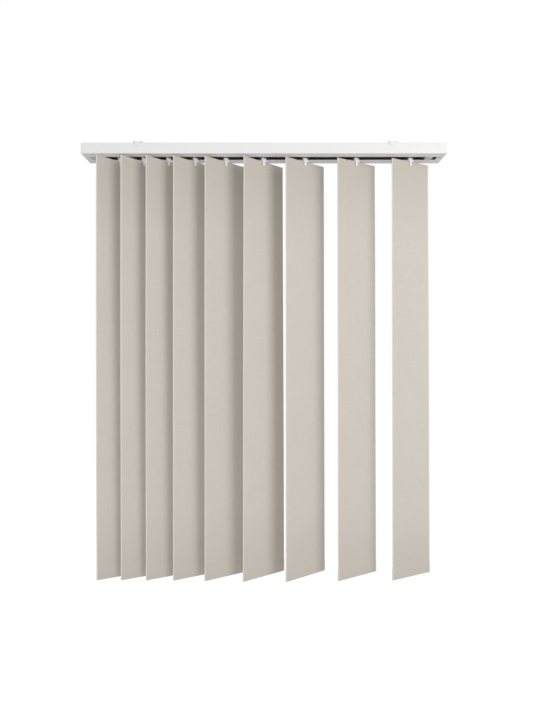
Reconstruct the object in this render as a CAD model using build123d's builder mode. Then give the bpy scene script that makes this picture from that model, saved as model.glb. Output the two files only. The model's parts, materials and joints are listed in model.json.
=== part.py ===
from build123d import *
import os
from math import cos, pi, radians, sin, tan

os.makedirs("parts", exist_ok=True)

# A vertical blind with nine fabric vanes, drawn as it hangs, part drawn and part open.
# X runs along the rail, Y from the room towards the window, Z up, in millimetres.
# The origin lies on the ceiling, midway between the screw holes of the two clips.

# Ceiling clips
clip_spacing = 710.0
clip_width = 27.0
clip_plate = 1.2
clip_foot = 2.4
clip_screw_radius = 2.5
clip_jaw = 1.2
clip_nose = 0.9
tongue_width = 17.0
tongue_drop = 9.0
back_jaw_drop = 6.4

# Head rail, an aluminium extrusion, and the ends of the blind
blind_width = 1020.0
rail_mid_x = -4.0
left_cap_length = 15.0
right_cap_length = 27.0
rail_depth = 52.0
rail_height = 30.0
rail_wall = 1.4
rail_corner = 1.0
slot_width = 17.0
track_width = 1.4
track_height = 2.0
groove_drop = 1.0
groove_height = 2.4
groove_depth = 1.1
cap_wall = 1.8
insert_fit = 0.15
left_insert = 32.0
right_insert = 23.0
outlet_in_rail = 4.0

# Tilt drive: a hexagonal rod turns one worm in each carrier, and the worm turns the hook's gear
rod_flats = 5.2
rod_fit = 0.1
journal_radius = 2.5
journal_length = 11.0
pivot_radius = 1.9
pivot_length = 4.5
key_fit = 0.02
running_fit = 0.06
bore_sides = 8
axis_height = 12.0
module = 1.25
gear_teeth = 8
gear_thickness = 4.4
worm_pitch_radius = 5.5
worm_root_radius = 3.95
worm_tip_radius = 6.6
worm_length = 17.4
thread_thickness = 1.35
thread_turns = 2
thread_steps = 10
thread_bite = 0.3
flank_angle = 20.0
gear_tooth_thickness = 1.42
gear_tip_addendum = 1.1
gear_root_dedendum = 1.4

# Chain drive and cord wheels
drive_module = 1.0
drive_teeth = 10
pinion_teeth = 11
drive_width = 8.0
drive_side_gap = 0.4
sprocket_width = 7.6
sprocket_flange = 1.2
sprocket_pockets = 6
bead_radius = 2.2
bead_fit = 0.3
bead_circle_radius = 6.0
sprocket_radius = 6.9
sprocket_hub_radius = 3.6
cord_height_below_ceiling = 3.6
return_pulley_radius = 6.0
return_setback = 15.0
cord_pulley_radius = 5.5
cord_groove = 1.1
pulley_flange = 1.1
pin_radius = 1.5

# Carriers
carrier_length = 26.0
carrier_height = 20.5
carrier_side_gap = 0.8
glide_gap = 0.2
shoe_thickness = 2.6
tower_front = 13.0
tower_back = 19.0
carrier_wall = 3.0
keel_gap = 0.4
keel_length = 19.0
keel_bow = 5.0
keel_drop = 0.9
shoe_bevel = 2.0
chamber_gap = 0.5
stem_radius = 3.0

# Spacer strips
strip_length = 172.0
strip_width = 6.0
strip_thickness = 0.4
strip_slope = 0.03
strip_start = 9.0
strip_bevel = 1.2
strip_peg = 3.0
strip_peg_proud = 0.1
strip_y = 15.0

# Hooks
neck_gap = 0.3
blade_thickness = 5.2
blade_top_back = 5.0
blade_top_front = 6.4
blade_foot_back = 11.0
blade_foot_front = 4.6
blade_foot_height = 2.0
hook_drop = 9.1
tongue_leg_width = 5.8
tongue_leg_thickness = 1.4
front_leg = 13.2
back_leg = 11.0
leg_gap = 0.3
hook_peg_radius = 1.4
hook_peg_drop = 7.0

# Vanes: where each hangs, as a share of the way from the first to the last, and how far it is turned
first_vane_gap = 53.0
last_vane_gap = 42.0
vane_stations = (0.0, 0.0815, 0.166, 0.258, 0.364, 0.494, 0.637, 0.814, 1.0)
vane_top_turn = (36.0, 35.0, 33.5, 31.5, 29.5, 27.0, 25.0, 23.0, 21.0)
vane_foot_turn = (16.5, 16.5, 17.0, 17.5, 18.0, 19.0, 20.0, 21.5, 23.0)
vane_width = 127.0
vane_drop = 1184.0
vane_top_gap = 0.4
cloth_thickness = 0.6
top_pocket = 20.0
top_pocket_thickness = 1.8
foot_pocket = 34.0
foot_pocket_thickness = 2.4
seam_height = 1.5
panel_spans = 5
hook_hole_length = 9.0
hook_hole_height = 4.0
hook_hole_bevel = 1.2

# Levels and stations worked out from the sizes
rail_top = -(clip_plate + clip_foot)
rail_foot = rail_top - rail_height
floor_z = rail_foot + rail_wall
ceiling_z = rail_top - rail_wall
inner_half = rail_depth / 2 - rail_wall
rail_left = rail_mid_x - blind_width / 2 + left_cap_length
rail_right = rail_mid_x + blind_width / 2 - right_cap_length
left_face = rail_left + left_insert
right_face = rail_right - right_insert
first_vane_x = left_face + first_vane_gap
last_vane_x = right_face - last_vane_gap
axis_z = floor_z + axis_height
gear_radius = module * gear_teeth / 2
rod_y = gear_radius + worm_pitch_radius
thread_pitch = pi * module
carrier_foot = floor_z + glide_gap
carrier_top = floor_z + carrier_height
keel_foot = floor_z - keel_drop
blade_top = keel_foot - neck_gap
blade_foot = rail_foot - hook_drop
vane_top = blade_foot - vane_top_gap
vane_foot = vane_top - vane_drop
cord_z = ceiling_z - cord_height_below_ceiling


def tooth_ring(teeth, pitch_radius, addendum, dedendum, thickness, first):
    """Corners of a spur gear with straight-sided teeth, the first one at the given angle."""
    slope = tan(radians(flank_angle))
    corners = []
    for tooth in range(teeth):
        middle = radians(first + 360 * tooth / teeth)
        for side in (-1, 1):
            for level in (-dedendum, addendum) if side < 0 else (addendum, -dedendum):
                radius = pitch_radius + level
                half = (thickness / 2 - level * slope) / radius
                angle = middle + side * half
                corners.append((radius * cos(angle), radius * sin(angle)))
    return corners


def faceted_prism(sections):
    """A closed solid through sections of four corners each, whose sides are flat triangles. Opposite
    sides are split the same way, so that a twisted strip keeps its thickness."""
    outlines = [sections[0], sections[-1]]
    for low, high in zip(sections, sections[1:]):
        for a, b in ((0, 1), (3, 2), (1, 2), (0, 3)):
            outlines += [(low[a], low[b], high[b]), (low[a], high[b], high[a])]
    return Solid(Shell([Face(Wire.make_polygon(outline, close=True)) for outline in outlines]))


# Head rail
groove_z = rail_top - groove_drop - groove_height / 2
rib_height = groove_drop + groove_height
with BuildPart() as head_rail:
    with BuildSketch(Plane.YZ.offset(rail_left)) as rail_section:
        with Locations((0, rail_top - rail_height / 2)):
            Rectangle(rail_depth, rail_height)
        fillet(rail_section.vertices(), rail_corner)
        with Locations((0, (floor_z + ceiling_z) / 2)):
            Rectangle(2 * inner_half, ceiling_z - floor_z, mode=Mode.SUBTRACT)
        for side in (-1, 1):
            with Locations((side * (inner_half - groove_depth / 2), ceiling_z - rib_height / 2)):
                Rectangle(groove_depth, rib_height)
            with Locations((side * (rail_depth / 2 - groove_depth / 2), groove_z)):
                Rectangle(groove_depth, groove_height, mode=Mode.SUBTRACT)
            with Locations((side * (slot_width + track_width) / 2, floor_z + track_height / 2)):
                Rectangle(track_width, track_height)
        with Locations((0, rail_foot + rail_wall / 2)):
            Rectangle(slot_width, rail_wall, mode=Mode.SUBTRACT)
    extrude(amount=rail_right - rail_left)
head_rail.part.label = "head_rail"
export_step(head_rail.part, "parts/head_rail.step")


# Ceiling clips: a plate with two feet on the rail, a sprung tongue in front and a jaw behind
jaw_y = rail_depth / 2 + clip_jaw
foot_span = clip_width - tongue_width
tongue_foot = rail_top - tongue_drop
for side, name in ((-1, "ceiling_clip_left"), (1, "ceiling_clip_right")):
    clip_x = side * clip_spacing / 2
    with BuildPart() as ceiling_clip:
        with BuildSketch(Plane.XY.offset(-clip_plate)):
            with Locations((clip_x, 0)):
                Rectangle(clip_width, 2 * jaw_y)
                Circle(clip_screw_radius, mode=Mode.SUBTRACT)
        extrude(amount=clip_plate)
        with BuildSketch(Plane.XY.offset(rail_top)):
            foot_x = clip_width / 2 - foot_span / 4
            with Locations((clip_x - foot_x, 0), (clip_x + foot_x, 0)):
                Rectangle(foot_span / 2, rail_depth - 2 * rail_corner)
        extrude(amount=clip_foot)
        with BuildSketch(Plane.XZ.offset(rail_depth / 2)):
            with BuildLine():
                shoulder_z = tongue_foot + tongue_width / 2
                left_edge = Line((clip_x - tongue_width / 2, 0), (clip_x - tongue_width / 2, shoulder_z))
                round_end = ThreePointArc(
                    left_edge @ 1, (clip_x, tongue_foot), (clip_x + tongue_width / 2, shoulder_z)
                )
                right_edge = Line(round_end @ 1, (clip_x + tongue_width / 2, 0))
                Line(right_edge @ 1, left_edge @ 0)
            make_face()
        extrude(amount=clip_jaw)
        with BuildSketch(Plane.XZ.offset(-rail_depth / 2)):
            with Locations((clip_x, -back_jaw_drop / 2 + rail_top / 2)):
                Rectangle(clip_width, back_jaw_drop - rail_top)
        extrude(amount=-clip_jaw)
        with BuildSketch(Plane.YZ.offset(clip_x - tongue_width / 4)):
            for face in (-1, 1):
                with Locations((face * (rail_depth - clip_nose) / 2, groove_z)):
                    Rectangle(clip_nose, groove_height - 2 * insert_fit)
        extrude(amount=tongue_width / 2)
    ceiling_clip.part.label = name
    export_step(ceiling_clip.part, f"parts/{name}.step")


# End caps, hollow towards the rail
chain_slot_right = 9.0
cord_slot_x = 15.0
cord_slot_y = -5.5
cord_slot_length = 10.5
cord_slot_width = 3.6
cord_slot_turn = -61.0
left_end = rail_left - left_cap_length
right_end = rail_right + right_cap_length
cap_corner = rail_corner
with BuildPart() as end_cap_left:
    with BuildSketch(Plane.YZ.offset(left_end)) as cap_outline:
        with Locations((0, rail_top - rail_height / 2)):
            Rectangle(rail_depth, rail_height)
        chamfer(cap_outline.vertices(), cap_corner)
    extrude(amount=left_cap_length)
    chamfer(end_cap_left.faces().sort_by(Axis.X)[0].edges(), cap_corner / 2)
    with BuildSketch(Plane.YZ.offset(left_end + cap_wall)):
        with Locations((0, rail_top - rail_height / 2)):
            Rectangle(rail_depth - 2 * cap_wall, rail_height - 2 * cap_wall)
    extrude(amount=left_cap_length - cap_wall, mode=Mode.SUBTRACT)
end_cap_left.part.label = "end_cap_left"
export_step(end_cap_left.part, "parts/end_cap_left.step")

with BuildPart() as end_cap_right:
    with BuildSketch(Plane.YZ.offset(rail_right)) as cap_outline:
        with Locations((0, rail_top - rail_height / 2)):
            Rectangle(rail_depth, rail_height)
        chamfer(cap_outline.vertices(), cap_corner)
    extrude(amount=right_cap_length)
    chamfer(end_cap_right.faces().sort_by(Axis.X)[-1].edges(), cap_corner / 2)
    with BuildSketch(Plane.YZ.offset(rail_right)):
        with Locations((0, rail_top - rail_height / 2)):
            Rectangle(rail_depth - 2 * cap_wall, rail_height - 2 * cap_wall)
    extrude(amount=right_cap_length - cap_wall, mode=Mode.SUBTRACT)
    with BuildSketch(Plane.XY.offset(rail_foot)):
        with Locations((rail_right + chain_slot_right / 2, 0)):
            Rectangle(chain_slot_right, slot_width - 4 * bead_radius)
        for bead_y in (-bead_circle_radius, bead_circle_radius):
            with Locations((rail_right + (chain_slot_right - bead_radius) / 2, bead_y)):
                Rectangle(chain_slot_right - bead_radius, 2 * (bead_radius + bead_fit))
            with Locations((rail_right + chain_slot_right - bead_radius - bead_fit, bead_y)):
                Circle(bead_radius + bead_fit)
        with Locations((rail_right + cord_slot_x, cord_slot_y)):
            SlotOverall(cord_slot_length, cord_slot_width, rotation=cord_slot_turn)
    extrude(amount=cap_wall, mode=Mode.SUBTRACT)
end_cap_right.part.label = "end_cap_right"
export_step(end_cap_right.part, "parts/end_cap_right.step")


# Housing at the closed end: it holds the rod's end and the wheel that turns the cord back
pulley_half_width = cord_groove + pulley_flange
return_x = left_face - return_setback
cord_spread_y = -4.0
return_pocket = return_pulley_radius + chamber_gap + pulley_flange
nose_left = left_end + cap_wall + insert_fit
rod_end_gap = 1.0
plug_groove_y = -4.0
plug_groove_width = 1.2
plug_groove_depth = 0.8
with BuildPart() as return_housing:
    with BuildSketch(Plane.YZ.offset(rail_left)):
        with Locations((0, (floor_z + ceiling_z) / 2)):
            Rectangle(2 * (inner_half - groove_depth - insert_fit), ceiling_z - floor_z - 2 * insert_fit)
        with Locations((0, (floor_z + rail_foot + insert_fit) / 2)):
            Rectangle(slot_width - 2 * insert_fit, rail_wall + insert_fit)
        for side in (-1, 1):
            with Locations((side * (slot_width + track_width) / 2, floor_z + (track_height + insert_fit) / 2)):
                Rectangle(track_width + 2 * insert_fit, track_height + insert_fit, mode=Mode.SUBTRACT)
    extrude(amount=left_insert)
    with BuildSketch(Plane.YZ.offset(nose_left)):
        with Locations((0, rail_top - rail_height / 2)):
            Rectangle(
                rail_depth - 2 * cap_wall - 2 * insert_fit, rail_height - 2 * cap_wall - 2 * insert_fit
            )
    extrude(amount=rail_left - nose_left)
    with BuildSketch(Plane.XY.offset(cord_z - pulley_half_width - chamber_gap)):
        with Locations((return_x, cord_spread_y)):
            Circle(return_pocket)
        with Locations(((return_x + left_face) / 2, cord_spread_y)):
            Rectangle(left_face - return_x, 2 * return_pocket)
    extrude(amount=ceiling_z - cord_z + pulley_half_width + chamber_gap, mode=Mode.SUBTRACT)
    with BuildSketch(Plane.YZ.offset(left_face)):
        with Locations((rod_y, axis_z)):
            Circle(journal_radius + running_fit)
    extrude(amount=-journal_length - rod_end_gap, mode=Mode.SUBTRACT)
    with BuildSketch(Plane.XY.offset(rail_foot + insert_fit)):
        with Locations((rail_left + left_insert / 2, plug_groove_y)):
            Rectangle(left_insert, plug_groove_width)
    extrude(amount=plug_groove_depth, mode=Mode.SUBTRACT)
    with BuildSketch(Plane.XY.offset(cord_z - pulley_half_width - chamber_gap)):
        with Locations((return_x, cord_spread_y)):
            Circle(pin_radius)
    extrude(amount=2 * pulley_half_width + 2 * chamber_gap)
return_housing.part.label = "return_housing"
export_step(return_housing.part, "parts/return_housing.step")

with BuildPart() as return_pulley:
    with BuildSketch(Plane.XZ.offset(-cord_spread_y)):
        with BuildLine():
            Polyline(
                (return_x, cord_z - pulley_half_width),
                (return_x + return_pulley_radius + pulley_flange, cord_z - pulley_half_width),
                (return_x + return_pulley_radius, cord_z),
                (return_x + return_pulley_radius + pulley_flange, cord_z + pulley_half_width),
                (return_x, cord_z + pulley_half_width),
                close=True,
            )
        make_face()
    revolve(axis=Axis((return_x, cord_spread_y, 0), (0, 0, 1)))
    with BuildSketch(Plane.XY.offset(cord_z - pulley_half_width)):
        with Locations((return_x, cord_spread_y)):
            RegularPolygon(pin_radius + running_fit, bore_sides, major_radius=False)
    extrude(amount=2 * pulley_half_width, mode=Mode.SUBTRACT)
return_pulley.part.label = "return_pulley"
export_step(return_pulley.part, "parts/return_pulley.step")


# Housing at the control end: gear chamber, bearings and the frame that carries the cord wheel
drive_left = rail_right - outlet_in_rail - drive_side_gap - drive_width - drive_side_gap
drive_wall = 2.0
drive_x = drive_left + drive_side_gap
sprocket_left = drive_left + drive_width + 2 * drive_side_gap + drive_wall + drive_side_gap
sprocket_right = sprocket_left + sprocket_width
drive_radius = drive_module * drive_teeth / 2
pinion_radius = drive_module * pinion_teeth / 2
drive_tip = drive_radius + drive_module
pinion_tip = pinion_radius + drive_module
block_right = sprocket_left - drive_side_gap
nose_right = right_end - cap_wall - insert_fit
frame_roof = 2.0
frame_side = 2.4
ear_gap = 0.4
ear_thickness = 1.8
ear_width = 7.0
cord_pulley_x = sprocket_right + ear_gap + cord_pulley_radius + pulley_flange
cord_pulley_z = ceiling_z - cord_pulley_radius - 2 * pulley_flange - frame_roof
wheel_gap = 0.3
cord_pulley_half = 2 * pulley_half_width + wheel_gap / 2
nose_top = rail_top - cap_wall - insert_fit
nose_foot = rail_foot + cap_wall + insert_fit
block_half = inner_half - groove_depth - insert_fit
notch_setback = 7.0
notch_y = -1.0
notch_length = 8.0
notch_width = 2.4
notch_turn = 50.0
notch_depth = 1.2
with BuildPart() as control_housing:
    with BuildSketch(Plane.YZ.offset(right_face)):
        with Locations((0, (floor_z + ceiling_z) / 2)):
            Rectangle(2 * block_half, ceiling_z - floor_z - 2 * insert_fit)
        for side in (-1, 1):
            with Locations((side * (slot_width + track_width) / 2, floor_z + (track_height + insert_fit) / 2)):
                Rectangle(track_width + 2 * insert_fit, track_height + insert_fit, mode=Mode.SUBTRACT)
    extrude(amount=block_right - right_face)
    with BuildSketch(Plane.YZ.offset(right_face)):
        with Locations((0, (floor_z + rail_foot + insert_fit) / 2)):
            Rectangle(slot_width - 2 * insert_fit, rail_wall + insert_fit)
    extrude(amount=right_insert - outlet_in_rail)
    with BuildSketch(Plane.YZ.offset(block_right)):
        with Locations((0, (nose_top + nose_foot) / 2)):
            Rectangle(2 * block_half, nose_top - nose_foot)
        with Locations((0, (nose_top - frame_roof + nose_foot) / 2)):
            Rectangle(2 * (block_half - frame_side), nose_top - frame_roof - nose_foot, mode=Mode.SUBTRACT)
    extrude(amount=nose_right - block_right)
    with BuildSketch(Plane.XY.offset(axis_z - pinion_tip - chamber_gap)):
        with Locations((drive_left + drive_width / 2 + drive_side_gap, (rod_y + pinion_tip - drive_tip) / 2)):
            Rectangle(drive_width + 2 * drive_side_gap, rod_y + pinion_tip + drive_tip + 2 * chamber_gap)
    extrude(amount=ceiling_z - axis_z + pinion_tip + chamber_gap, mode=Mode.SUBTRACT)
    with BuildSketch(Plane.YZ.offset(right_face)):
        with Locations((rod_y, axis_z)):
            Circle(journal_radius + running_fit)
    extrude(amount=drive_left - right_face, mode=Mode.SUBTRACT)
    with BuildSketch(Plane.YZ.offset(drive_left)):
        with Locations((0, axis_z)):
            RegularPolygon(pivot_radius + running_fit, bore_sides, major_radius=False)
    extrude(amount=-pivot_length - rod_end_gap / 2, mode=Mode.SUBTRACT)
    with BuildSketch(Plane.YZ.offset(block_right)):
        with Locations((0, axis_z)):
            Circle(sprocket_hub_radius + running_fit)
    extrude(amount=-drive_wall, mode=Mode.SUBTRACT)
    for side in (-1, 1):
        ear_y = cord_spread_y + side * (cord_pulley_half + ear_gap + ear_thickness / 2)
        with BuildSketch(Plane.XY.offset(cord_pulley_z - ear_width / 2)):
            with Locations((cord_pulley_x, ear_y)):
                Rectangle(ear_width, ear_thickness)
        extrude(amount=nose_top - frame_roof - cord_pulley_z + ear_width / 2)
    with BuildSketch(Plane.XZ.offset(-cord_spread_y - cord_pulley_half - ear_gap - ear_thickness)):
        with Locations((cord_pulley_x, cord_pulley_z)):
            RegularPolygon(pin_radius, bore_sides, major_radius=False)
    extrude(amount=2 * (cord_pulley_half + ear_gap + ear_thickness), mode=Mode.SUBTRACT)
    # Slanted notch in the plug for a tool that frees the housing
    with BuildSketch(Plane.XY.offset(rail_foot + insert_fit)):
        with Locations((right_face + notch_setback, notch_y)):
            Rectangle(notch_length, notch_width, rotation=notch_turn)
    extrude(amount=notch_depth, mode=Mode.SUBTRACT)
control_housing.part.label = "control_housing"
export_step(control_housing.part, "parts/control_housing.step")

with BuildPart() as cord_pulley_pin:
    with BuildSketch(Plane.XZ.offset(-cord_spread_y - cord_pulley_half - ear_gap - ear_thickness)):
        with Locations((cord_pulley_x, cord_pulley_z)):
            Circle(pin_radius)
    extrude(amount=2 * (cord_pulley_half + ear_gap + ear_thickness))
cord_pulley_pin.part.label = "cord_pulley_pin"
export_step(cord_pulley_pin.part, "parts/cord_pulley_pin.step")

# Two wheels side by side on one pin, because the two runs of the cord go opposite ways
for side, name in ((-1, "cord_pulley_front"), (1, "cord_pulley_back")):
    groove_y = cord_spread_y + side * (pulley_half_width + wheel_gap / 2)
    with BuildPart() as cord_pulley:
        with BuildSketch(Plane.XY.offset(cord_pulley_z)):
            with BuildLine():
                rim = cord_pulley_x + cord_pulley_radius + pulley_flange
                base = cord_pulley_x + cord_pulley_radius
                Polyline(
                    (cord_pulley_x, groove_y - pulley_half_width),
                    (rim, groove_y - pulley_half_width),
                    (base, groove_y),
                    (rim, groove_y + pulley_half_width),
                    (cord_pulley_x, groove_y + pulley_half_width),
                    close=True,
                )
            make_face()
        revolve(axis=Axis((cord_pulley_x, 0, cord_pulley_z), (0, 1, 0)))
        with BuildSketch(Plane.XZ.offset(-groove_y - pulley_half_width)):
            with Locations((cord_pulley_x, cord_pulley_z)):
                RegularPolygon(pin_radius + running_fit, bore_sides, major_radius=False)
        extrude(amount=2 * pulley_half_width, mode=Mode.SUBTRACT)
    cord_pulley.part.label = name
    export_step(cord_pulley.part, f"parts/{name}.step")

# Chain wheel on a hub that runs in the housing, with the drive gear keyed on its shaft
pocket_sides = 10
with BuildPart() as chain_wheel:
    with BuildSketch(Plane.YZ.offset(sprocket_left)):
        with Locations((0, axis_z)):
            Circle(sprocket_radius)
            with PolarLocations(bead_circle_radius, sprocket_pockets):
                RegularPolygon(bead_radius, pocket_sides, mode=Mode.SUBTRACT)
    extrude(amount=sprocket_width)
    for flange_x in (sprocket_left, sprocket_right - sprocket_flange):
        with BuildSketch(Plane.YZ.offset(flange_x)):
            with Locations((0, axis_z)):
                Circle(sprocket_radius)
        extrude(amount=sprocket_flange)
    with BuildSketch(Plane.YZ.offset(drive_x + drive_width)):
        with Locations((0, axis_z)):
            Circle(sprocket_hub_radius)
    extrude(amount=sprocket_left - drive_x - drive_width)
    with BuildSketch(Plane.YZ.offset(drive_x)):
        with Locations((0, axis_z)):
            RegularPolygon(journal_radius, 6)
    extrude(amount=drive_width)
    with BuildSketch(Plane.YZ.offset(drive_left - pivot_length)):
        with Locations((0, axis_z)):
            Circle(pivot_radius)
    extrude(amount=drive_x - drive_left + pivot_length)
chain_wheel.part.label = "chain_wheel"
export_step(chain_wheel.part, "parts/chain_wheel.step")

drive_tooth = 0.38 * pi * drive_module
drive_addendum = 0.9 * drive_module
drive_dedendum = 1.2 * drive_module
with BuildPart() as drive_gear:
    with BuildSketch(Plane.YZ.offset(drive_x)):
        with Locations((0, axis_z)):
            Polygon(
                *tooth_ring(
                    drive_teeth, drive_radius, drive_addendum, drive_dedendum, drive_tooth, 180 / drive_teeth
                ),
                align=None,
            )
        with Locations((0, axis_z)):
            RegularPolygon(journal_radius + key_fit, 6, mode=Mode.SUBTRACT)
    extrude(amount=drive_width)
drive_gear.part.label = "drive_gear"
export_step(drive_gear.part, "parts/drive_gear.step")

with BuildPart() as rod_pinion:
    with BuildSketch(Plane.YZ.offset(drive_x)):
        with Locations((rod_y, axis_z)):
            Polygon(
                *tooth_ring(
                    pinion_teeth, pinion_radius, drive_addendum, drive_dedendum, drive_tooth, 180.0
                ),
                align=None,
            )
        with Locations((rod_y, axis_z)):
            RegularPolygon(journal_radius + key_fit, 6, mode=Mode.SUBTRACT)
    extrude(amount=drive_width)
rod_pinion.part.label = "rod_pinion"
export_step(rod_pinion.part, "parts/rod_pinion.step")

rod_inset = 1.0
with BuildPart() as tilt_rod:
    with BuildSketch(Plane.YZ.offset(left_face + rod_inset)):
        with Locations((rod_y, axis_z)):
            RegularPolygon(rod_flats / 2, 6, major_radius=False)
    extrude(amount=right_face - left_face - 2 * rod_inset)
    with BuildSketch(Plane.YZ.offset(left_face - journal_length)):
        with Locations((rod_y, axis_z)):
            Circle(journal_radius)
    extrude(amount=journal_length + rod_inset)
    with BuildSketch(Plane.YZ.offset(right_face - rod_inset)):
        with Locations((rod_y, axis_z)):
            Circle(journal_radius)
    extrude(amount=drive_x - right_face + rod_inset)
    with BuildSketch(Plane.YZ.offset(drive_x)):
        with Locations((rod_y, axis_z)):
            RegularPolygon(journal_radius, 6)
    extrude(amount=drive_width)
tilt_rod.part.label = "tilt_rod"
export_step(tilt_rod.part, "parts/tilt_rod.step")


# One worm, drawn upright round its own axis, with a crest of the thread facing +X at mid height
flank = tan(radians(flank_angle))
thread_base = worm_root_radius - thread_bite
thread_corners = [
    (radius, side * (thread_thickness / 2 - (radius - worm_pitch_radius) * flank))
    for radius, side in ((thread_base, -1), (worm_tip_radius, -1), (worm_tip_radius, 1), (thread_base, 1))
]
thread_sections = []
for step in range(thread_turns * thread_steps + 1):
    turns = step / thread_steps
    angle = 2 * pi * turns
    level = (turns - thread_turns / 2) * thread_pitch
    thread_sections.append(
        [(radius * cos(angle), radius * sin(angle), level + rise) for radius, rise in thread_corners]
    )
with BuildPart() as worm_form:
    with BuildSketch(Plane.XY.offset(-worm_length / 2)):
        RegularPolygon(worm_root_radius, thread_steps)
    extrude(amount=worm_length)
    add(faceted_prism(thread_sections))
    with BuildSketch(Plane.XY.offset(-worm_length / 2)):
        RegularPolygon(rod_flats / 2 + rod_fit, 6, major_radius=False)
    extrude(amount=worm_length, mode=Mode.SUBTRACT)


# One carrier: shoes on the rail's tracks, a keel in the slot and a tower with the worm and gear chambers
shoe_inner = slot_width / 2 + track_width + keel_gap
shoe_outer = inner_half - carrier_side_gap
bridge_foot = floor_z + track_height + glide_gap
tower_foot = carrier_foot + shoe_thickness
gear_foot = axis_z - gear_thickness / 2
bridge_inset = 4.0
bridge_rise = 1.6
pad_rise = 0.5
pad_depth = 1.0
saddle_drop = 3.0
worm_chamber = worm_length / 2 - carrier_wall
with BuildPart() as carrier_form:
    with BuildSketch(Plane.XY.offset(carrier_foot)) as shoes:
        with Locations((0, -(shoe_inner + shoe_outer) / 2), (0, (shoe_inner + shoe_outer) / 2)):
            Rectangle(carrier_length, shoe_outer - shoe_inner)
        chamfer(shoes.vertices(), shoe_bevel)
    extrude(amount=shoe_thickness)
    with BuildSketch(Plane.XY.offset(bridge_foot)):
        Rectangle(carrier_length, 2 * (shoe_outer - bridge_inset))
    extrude(amount=tower_foot - bridge_foot + bridge_rise)
    with BuildSketch(Plane.XY.offset(keel_foot)) as keel:
        Rectangle(keel_length, slot_width - 2 * keel_gap)
        chamfer(keel.vertices(), keel_bow)
    extrude(amount=bridge_foot - keel_foot)
    with BuildSketch(Plane.XY.offset(tower_foot)):
        with Locations((0, (tower_back - tower_front) / 2)):
            Rectangle(carrier_length - 2 * carrier_wall, tower_back + tower_front)
    extrude(amount=carrier_top - tower_foot)
    # Worm chamber, open to the back, with saddles that the worm's ends snap into from above
    chamber_front = rod_y - worm_tip_radius - chamber_gap
    with BuildSketch(Plane.XY.offset(axis_z - worm_tip_radius - chamber_gap)):
        with Locations((0, (chamber_front + tower_back) / 2)):
            Rectangle(2 * worm_chamber, tower_back - chamber_front)
    extrude(amount=2 * (worm_tip_radius + chamber_gap), mode=Mode.SUBTRACT)
    with BuildSketch(Plane.YZ.offset(-carrier_length / 2)):
        with Locations((rod_y, axis_z)):
            Circle(worm_root_radius + running_fit)
        with Locations((rod_y, (axis_z - saddle_drop + carrier_top) / 2)):
            Rectangle(2 * (worm_root_radius + running_fit), carrier_top - axis_z + saddle_drop)
    extrude(amount=carrier_length, mode=Mode.SUBTRACT)
    # Gear chamber, open to the front, and the hook's bearing below it
    gear_chamber = gear_radius + gear_tip_addendum + chamber_gap
    with BuildSketch(Plane.XY.offset(gear_foot - glide_gap)):
        with Locations((0, (gear_chamber - tower_front) / 2)):
            Rectangle(2 * gear_chamber, gear_chamber + tower_front)
    extrude(amount=gear_thickness + 2 * glide_gap, mode=Mode.SUBTRACT)
    with BuildSketch(Plane.XY.offset(keel_foot)):
        RegularPolygon(stem_radius + running_fit, 8, major_radius=False)
    extrude(amount=gear_foot - keel_foot, mode=Mode.SUBTRACT)
    # Seat and peg for the spacer strip
    with BuildSketch(Plane.XZ.offset(-strip_y - strip_width / 2)):
        with BuildLine():
            Polyline(
                (-strip_start, carrier_top - pad_depth),
                (strip_start, carrier_top - pad_depth),
                (strip_start, carrier_top + pad_rise + 2 * strip_start * strip_slope),
                (-strip_start, carrier_top + pad_rise),
                close=True,
            )
        make_face()
    extrude(amount=strip_width)


# Stations of the spacer strips on a carrier, in the plane of the strip
strip_plane = Plane(
    origin=(-strip_start, strip_y, carrier_top + pad_rise),
    x_dir=(1, 0, strip_slope),
    z_dir=(-strip_slope, 0, 1),
)
peg_station = 6.0
peg_fit = 0.15
with BuildPart() as peg_form:
    with BuildSketch(strip_plane):
        with Locations((peg_station, 0)):
            Rectangle(strip_peg, strip_peg)
    extrude(amount=strip_thickness + strip_peg_proud)
with BuildPart() as strip_form:
    with BuildSketch(strip_plane) as strip_outline:
        with Locations((strip_length / 2, 0)):
            Rectangle(strip_length, strip_width)
        chamfer(strip_outline.vertices(), strip_bevel)
        with Locations((peg_station, 0)):
            Rectangle(strip_peg + 2 * peg_fit, strip_peg + 2 * peg_fit, mode=Mode.SUBTRACT)
    extrude(amount=strip_thickness)


# Gear and shaft of a hook, the same in every carrier
with BuildPart() as hook_shaft_form:
    with BuildSketch(Plane.XY.offset(gear_foot)):
        Polygon(
            *tooth_ring(
                gear_teeth,
                gear_radius,
                gear_tip_addendum,
                gear_root_dedendum,
                gear_tooth_thickness,
                90 + 180 / gear_teeth,
            ),
            align=None,
        )
    extrude(amount=gear_thickness)
    with BuildSketch(Plane.XY.offset(blade_top)):
        Circle(stem_radius)
    extrude(amount=gear_foot - blade_top)


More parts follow.
